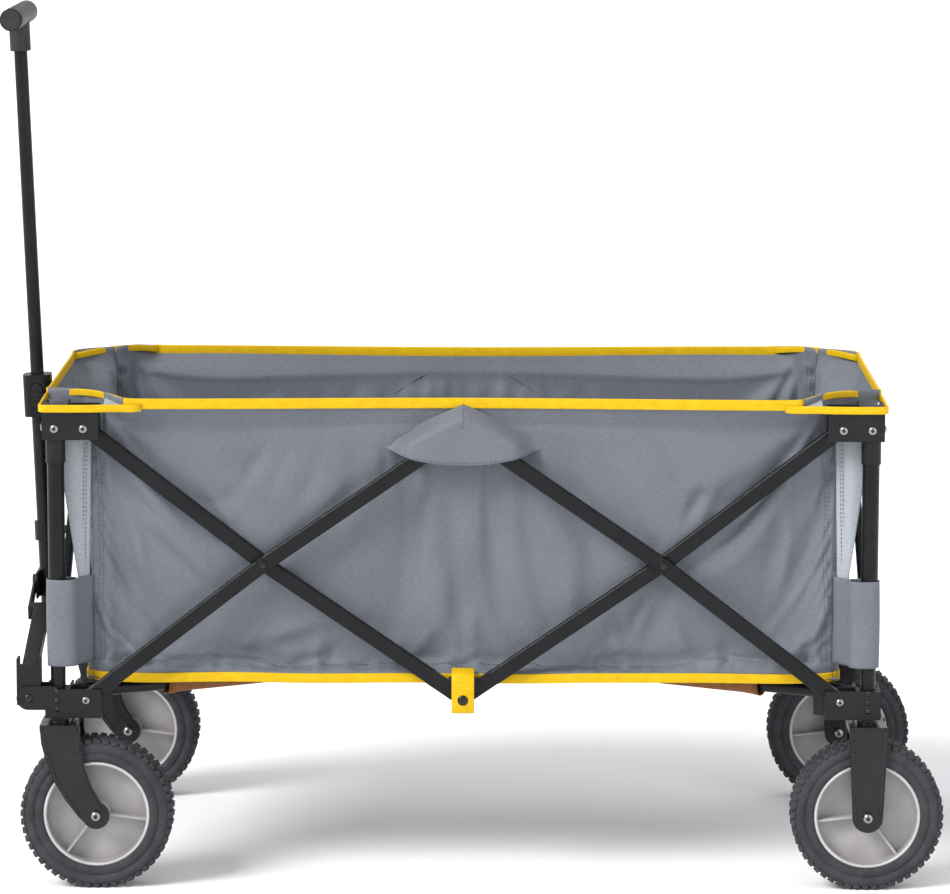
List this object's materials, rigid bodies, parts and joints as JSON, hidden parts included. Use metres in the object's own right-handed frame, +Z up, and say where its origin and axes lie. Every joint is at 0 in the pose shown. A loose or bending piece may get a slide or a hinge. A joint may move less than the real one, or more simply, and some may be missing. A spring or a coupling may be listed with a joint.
{
  "type": "folding wagon with pull handle",
  "caption": "Folding utility wagon: fabric tub in a scissor frame on wheels, with front casters and a telescopic tilting pull handle.",
  "frame": {"origin": "middle of the wagon's bounding box, on the floor", "axes": "+X to the rear (away from the handle), +Y to the right-hand side, +Z up"},
  "size_m": [1.114, 0.533, 1.024],
  "materials": {
    "bracket_steel": "black powder coat",
    "arm_steel": "black powder coat, semi-gloss",
    "tube_steel": "black powder coat, semi-gloss",
    "fork_steel": "black gloss paint",
    "tyre": "matt moulded",
    "wheel_plastic": "moulded grey",
    "hub_steel": "black",
    "cloth": "woven polyester with yellow binding",
    "grip_plastic": "soft black"
  },
  "bodies": {
    "front_left_base": {"bottom_bracket_fl": "bracket_steel", "lower_post_fl": "tube_steel", "tub_floor": "cloth"},
    "front_right_base": {"bottom_bracket_fr": "bracket_steel", "lower_post_fr": "tube_steel"},
    "rear_left_base": {"bottom_bracket_rl": "bracket_steel", "lower_post_rl": "tube_steel", "fork_rl": "fork_steel"},
    "rear_right_base": {"bottom_bracket_rr": "bracket_steel", "lower_post_rr": "tube_steel", "fork_rr": "fork_steel"},
    "front_left_top": {"top_bracket_fl": "bracket_steel", "upper_post_fl": "tube_steel", "tub_left_wall": "cloth", "tub_front_wall": "cloth"},
    "front_right_top": {"top_bracket_fr": "bracket_steel", "upper_post_fr": "tube_steel", "tub_right_wall": "cloth"},
    "rear_left_top": {"top_bracket_rl": "bracket_steel", "upper_post_rl": "tube_steel", "tub_rear_wall": "cloth"},
    "rear_right_top": {"top_bracket_rr": "bracket_steel", "upper_post_rr": "tube_steel"},
    "front_rise_arm": {"front_rise_arm": "arm_steel"},
    "front_fall_arm": {"front_fall_arm": "arm_steel"},
    "rear_rise_arm": {"rear_rise_arm": "arm_steel"},
    "rear_fall_arm": {"rear_fall_arm": "arm_steel"},
    "hem_hub_left": {"hem_hub_left": "hub_steel"},
    "hem_hub_right": {"hem_hub_right": "hub_steel"},
    "caster_left": {"fork_fl": "fork_steel"},
    "caster_right": {"fork_fr": "fork_steel"},
    "handle_yoke_left": {"handle_yoke_left": "bracket_steel"},
    "handle_yoke_right": {"handle_yoke_right": "bracket_steel"},
    "handle_leg_left": {"handle_leg_left": "tube_steel"},
    "handle_leg_right": {"handle_leg_right": "tube_steel"},
    "handle_tube": {"handle_tube": "tube_steel"},
    "handle_pole": {"handle_pole": "tube_steel", "handle_grip": "grip_plastic"},
    "lock_button": {"lock_button": "grip_plastic"},
    "rise_arm_front_left": {"rise_arm_fl": "arm_steel"},
    "fall_arm_front_left": {"fall_arm_fl": "arm_steel"},
    "floor_arm_front_left": {"floor_arm_fl": "arm_steel"},
    "front_left_wheel": {"tyre_fl": "tyre", "wheel_fl": "wheel_plastic"},
    "rise_arm_front_right": {"rise_arm_fr": "arm_steel"},
    "fall_arm_front_right": {"fall_arm_fr": "arm_steel"},
    "floor_arm_front_right": {"floor_arm_fr": "arm_steel"},
    "front_right_wheel": {"tyre_fr": "tyre", "wheel_fr": "wheel_plastic"},
    "rise_arm_rear_left": {"rise_arm_rl": "arm_steel"},
    "fall_arm_rear_left": {"fall_arm_rl": "arm_steel"},
    "floor_arm_rear_left": {"floor_arm_rl": "arm_steel"},
    "rear_left_wheel": {"tyre_rl": "tyre", "wheel_rl": "wheel_plastic"},
    "rise_arm_rear_right": {"rise_arm_rr": "arm_steel"},
    "fall_arm_rear_right": {"fall_arm_rr": "arm_steel"},
    "floor_arm_rear_right": {"floor_arm_rr": "arm_steel"},
    "rear_right_wheel": {"tyre_rr": "tyre", "wheel_rr": "wheel_plastic"}
  },
  "joints": [
    {"name": "fold", "type": "hinge", "parent": "front_left_base", "child": "rise_arm_front_left", "pos_m": [-0.44947, -0.234, 0.224], "axis": [0, -1, 0], "range_deg": [0, 42], "deforming": ["tub_left_wall", "tub_right_wall", "tub_front_wall", "tub_rear_wall", "tub_floor"]},
    {"name": "cross_front_left", "type": "hinge", "parent": "rise_arm_front_left", "child": "fall_arm_front_left", "pos_m": [-0.24147, -0.234, 0.385], "axis": [0, -1, 0], "range_deg": [-84, 0]},
    {"name": "top_front_left", "type": "hinge", "parent": "fall_arm_front_left", "child": "front_left_top", "pos_m": [-0.44947, -0.234, 0.546], "axis": [0, -1, 0], "range_deg": [0, 42]},
    {"name": "hub_left_rear", "type": "hinge", "parent": "fall_arm_front_left", "child": "fall_arm_rear_left", "pos_m": [-0.00747, -0.234, 0.224], "axis": [0, -1, 0], "range_deg": [0, 84]},
    {"name": "hub_left", "type": "hinge", "parent": "fall_arm_front_left", "child": "hem_hub_left", "pos_m": [-0.00747, -0.234, 0.224], "axis": [0, -1, 0], "range_deg": [0, 42]},
    {"name": "cross_rear_left", "type": "hinge", "parent": "fall_arm_rear_left", "child": "rise_arm_rear_left", "pos_m": [0.22653, -0.234, 0.385], "axis": [0, -1, 0], "range_deg": [-84, 0]},
    {"name": "foot_rear_left", "type": "hinge", "parent": "rise_arm_rear_left", "child": "rear_left_base", "pos_m": [0.43453, -0.234, 0.224], "axis": [0, -1, 0], "range_deg": [0, 42]},
    {"name": "top_rear_left", "type": "hinge", "parent": "fall_arm_rear_left", "child": "rear_left_top", "pos_m": [0.43453, -0.234, 0.546], "axis": [0, -1, 0], "range_deg": [-42, 0]},
    {"name": "front_foot_left", "type": "hinge", "parent": "front_left_base", "child": "front_rise_arm", "pos_m": [-0.48297, -0.208, 0.224], "axis": [1, 0, 0], "range_deg": [0, 42]},
    {"name": "front_cross", "type": "hinge", "parent": "front_rise_arm", "child": "front_fall_arm", "pos_m": [-0.48297, 0, 0.385], "axis": [1, 0, 0], "range_deg": [-84, 0]},
    {"name": "front_foot_right", "type": "hinge", "parent": "front_fall_arm", "child": "front_right_base", "pos_m": [-0.48297, 0.208, 0.224], "axis": [1, 0, 0], "range_deg": [0, 42]},
    {"name": "front_top_right", "type": "hinge", "parent": "front_rise_arm", "child": "front_right_top", "pos_m": [-0.48297, 0.208, 0.546], "axis": [1, 0, 0], "range_deg": [-42, 0]},
    {"name": "rear_foot_left", "type": "hinge", "parent": "rear_left_base", "child": "rear_rise_arm", "pos_m": [0.46803, -0.208, 0.224], "axis": [1, 0, 0], "range_deg": [0, 42]},
    {"name": "rear_cross", "type": "hinge", "parent": "rear_rise_arm", "child": "rear_fall_arm", "pos_m": [0.46803, 0, 0.385], "axis": [1, 0, 0], "range_deg": [-84, 0]},
    {"name": "rear_foot_right", "type": "hinge", "parent": "rear_fall_arm", "child": "rear_right_base", "pos_m": [0.46803, 0.208, 0.224], "axis": [1, 0, 0], "range_deg": [0, 42]},
    {"name": "rear_top_right", "type": "hinge", "parent": "rear_rise_arm", "child": "rear_right_top", "pos_m": [0.46803, 0.208, 0.546], "axis": [1, 0, 0], "range_deg": [-42, 0]},
    {"name": "foot_front_right", "type": "hinge", "parent": "front_right_base", "child": "rise_arm_front_right", "pos_m": [-0.44947, 0.234, 0.224], "axis": [0, -1, 0], "range_deg": [0, 42]},
    {"name": "cross_front_right", "type": "hinge", "parent": "rise_arm_front_right", "child": "fall_arm_front_right", "pos_m": [-0.24147, 0.234, 0.385], "axis": [0, -1, 0], "range_deg": [-84, 0]},
    {"name": "hub_right", "type": "hinge", "parent": "fall_arm_front_right", "child": "hem_hub_right", "pos_m": [-0.00747, 0.234, 0.224], "axis": [0, -1, 0], "range_deg": [0, 42]},
    {"name": "foot_rear_right", "type": "hinge", "parent": "rear_right_base", "child": "rise_arm_rear_right", "pos_m": [0.43453, 0.234, 0.224], "axis": [0, -1, 0], "range_deg": [-42, 0]},
    {"name": "cross_rear_right", "type": "hinge", "parent": "rise_arm_rear_right", "child": "fall_arm_rear_right", "pos_m": [0.22653, 0.234, 0.385], "axis": [0, -1, 0], "range_deg": [0, 84]},
    {"name": "floor_front_left", "type": "hinge", "parent": "front_left_base", "child": "floor_arm_front_left", "pos_m": [-0.43272, -0.20927, 0.23], "axis": [0.4415, -0.8972, 0], "range_deg": [0, 76.5]},
    {"name": "floor_front_right", "type": "hinge", "parent": "front_right_base", "child": "floor_arm_front_right", "pos_m": [-0.43272, 0.20927, 0.23], "axis": [-0.4415, -0.8972, 0], "range_deg": [0, 76.5]},
    {"name": "floor_rear_left", "type": "hinge", "parent": "rear_left_base", "child": "floor_arm_rear_left", "pos_m": [0.41779, -0.20927, 0.23], "axis": [0.4415, 0.8972, 0], "range_deg": [0, 76.5]},
    {"name": "floor_rear_right", "type": "hinge", "parent": "rear_right_base", "child": "floor_arm_rear_right", "pos_m": [0.41779, 0.20927, 0.23], "axis": [-0.4415, 0.8972, 0], "range_deg": [0, 76.5]},
    {"name": "handle_tilt", "type": "hinge", "parent": "front_left_base", "child": "handle_yoke_left", "pos_m": [-0.51697, -0.234, 0.2265], "axis": [0, -1, 0], "range_deg": [0, 95]},
    {"name": "handle_tilt_right", "type": "hinge", "parent": "front_right_base", "child": "handle_yoke_right", "pos_m": [-0.51697, 0.234, 0.2265], "axis": [0, -1, 0], "range_deg": [0, 95]},
    {"name": "leg_left", "type": "hinge", "parent": "handle_yoke_left", "child": "handle_leg_left", "pos_m": [-0.51697, -0.234, 0.252], "axis": [1, 0, 0], "range_deg": [0, 58.24]},
    {"name": "leg_hub", "type": "hinge", "parent": "handle_leg_left", "child": "handle_tube", "pos_m": [-0.51697, -0.014, 0.319], "axis": [1, 0, 0], "range_deg": [-58.24, 0]},
    {"name": "leg_right", "type": "hinge", "parent": "handle_yoke_right", "child": "handle_leg_right", "pos_m": [-0.51697, 0.234, 0.252], "axis": [-1, 0, 0], "range_deg": [0, 58.24]},
    {"name": "handle_slide", "type": "slide", "parent": "handle_tube", "child": "handle_pole", "axis": [-0.0384, 0, 0.9993], "range_m": [-0.2, 0]},
    {"name": "lock_press", "type": "slide", "parent": "handle_tube", "child": "lock_button", "axis": [0, 1, 0], "range_m": [0, 0.0018], "stiffness_N_per_m": 600},
    {"name": "swivel_left", "type": "hinge", "parent": "front_left_base", "child": "caster_left", "pos_m": [-0.48297, -0.234, 0.19], "axis": [0, 0, 1], "continuous": true},
    {"name": "spin_front_left", "type": "hinge", "parent": "caster_left", "child": "front_left_wheel", "pos_m": [-0.43797, -0.234, 0.089], "axis": [0, 1, 0], "continuous": true},
    {"name": "spin_rear_left", "type": "hinge", "parent": "rear_left_base", "child": "rear_left_wheel", "pos_m": [0.46803, -0.234, 0.089], "axis": [0, 1, 0], "continuous": true},
    {"name": "swivel_right", "type": "hinge", "parent": "front_right_base", "child": "caster_right", "pos_m": [-0.48297, 0.234, 0.19], "axis": [0, 0, 1], "continuous": true},
    {"name": "spin_front_right", "type": "hinge", "parent": "caster_right", "child": "front_right_wheel", "pos_m": [-0.43797, 0.234, 0.089], "axis": [0, 1, 0], "continuous": true},
    {"name": "spin_rear_right", "type": "hinge", "parent": "rear_right_base", "child": "rear_right_wheel", "pos_m": [0.46803, 0.234, 0.089], "axis": [0, 1, 0], "continuous": true}
  ],
  "couplings": [
    {"joint": "cross_front_left", "follows": "fold", "ratio": -2},
    {"joint": "top_front_left", "follows": "fold", "ratio": 1},
    {"joint": "hub_left_rear", "follows": "fold", "ratio": 2},
    {"joint": "hub_left", "follows": "fold", "ratio": 1},
    {"joint": "cross_rear_left", "follows": "fold", "ratio": -2},
    {"joint": "foot_rear_left", "follows": "fold", "ratio": 1},
    {"joint": "top_rear_left", "follows": "fold", "ratio": -1},
    {"joint": "front_foot_left", "follows": "fold", "ratio": 1},
    {"joint": "front_cross", "follows": "fold", "ratio": -2},
    {"joint": "front_foot_right", "follows": "fold", "ratio": 1},
    {"joint": "front_top_right", "follows": "fold", "ratio": -1},
    {"joint": "rear_foot_left", "follows": "fold", "ratio": 1},
    {"joint": "rear_cross", "follows": "fold", "ratio": -2},
    {"joint": "rear_foot_right", "follows": "fold", "ratio": 1},
    {"joint": "rear_top_right", "follows": "fold", "ratio": -1},
    {"joint": "foot_front_right", "follows": "fold", "ratio": 1},
    {"joint": "cross_front_right", "follows": "fold", "ratio": -2},
    {"joint": "hub_right", "follows": "fold", "ratio": 1},
    {"joint": "foot_rear_right", "follows": "fold", "ratio": -1},
    {"joint": "cross_rear_right", "follows": "fold", "ratio": 2},
    {"joint": "floor_front_left", "follows": "fold", "ratio": 1.8214},
    {"joint": "floor_front_right", "follows": "fold", "ratio": 1.8214},
    {"joint": "floor_rear_left", "follows": "fold", "ratio": 1.8214},
    {"joint": "floor_rear_right", "follows": "fold", "ratio": 1.8214},
    {"joint": "handle_tilt_right", "follows": "handle_tilt", "ratio": 1},
    {"joint": "leg_left", "follows": "fold", "ratio": 1.3866},
    {"joint": "leg_hub", "follows": "fold", "ratio": -1.3866},
    {"joint": "leg_right", "follows": "fold", "ratio": 1.3866}
  ]
}
